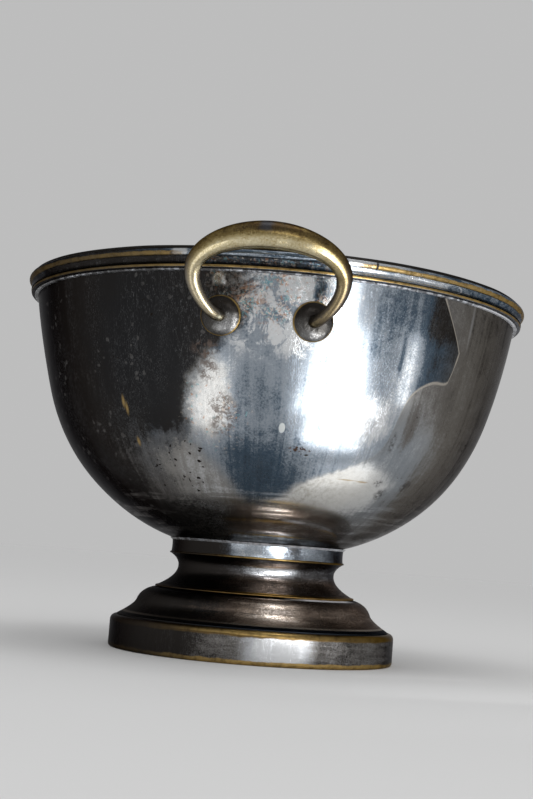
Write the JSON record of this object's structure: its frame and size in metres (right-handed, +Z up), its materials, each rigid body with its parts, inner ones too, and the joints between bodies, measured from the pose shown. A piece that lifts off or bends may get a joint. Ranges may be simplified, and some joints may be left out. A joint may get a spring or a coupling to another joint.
{
  "type": "trophy bowl",
  "caption": "Large worn silver-plated trophy bowl on a stepped spun foot, with a banded brass-edged rim and tapered cast loop handles on domed roundels at front and rear",
  "frame": {"origin": "centre of the flat resting ring under the foot, on the bowl's axis", "axes": "+Z up along the bowl's axis, +Y through the rear handle with the front handle at -Y, +X to the right as seen from the front handle"},
  "size_m": [0.34, 0.419, 0.2524],
  "materials": {
    "silver_plate": "worn silver plate, warm tarnish and fine scratches",
    "worn_brass": "brass with the plating worn through and an antique olive tarnish",
    "solder": "bright soft solder, slightly uneven",
    "raw_brass": "plain turned brass, dull"
  },
  "bodies": {
    "root": {"bowl": "silver_plate", "rim_solder": "solder", "rim_bead": "worn_brass", "rim_band": "silver_plate", "rim_roll": "worn_brass", "seat_solder": "solder", "foot_collar": "silver_plate", "foot_waist": "silver_plate", "foot_bell": "silver_plate", "base_band": "silver_plate", "bowl_stud": "raw_brass", "clamp_plate": "raw_brass", "clamp_washer": "raw_brass", "clamp_nut": "raw_brass", "handle_front": "worn_brass", "roundel_front_right": "silver_plate", "rove_front_right": "raw_brass", "roundel_front_left": "silver_plate", "rove_front_left": "raw_brass", "handle_rear": "worn_brass", "roundel_rear_right": "silver_plate", "rove_rear_right": "raw_brass", "roundel_rear_left": "silver_plate", "rove_rear_left": "raw_brass"}
  },
  "joints": []
}
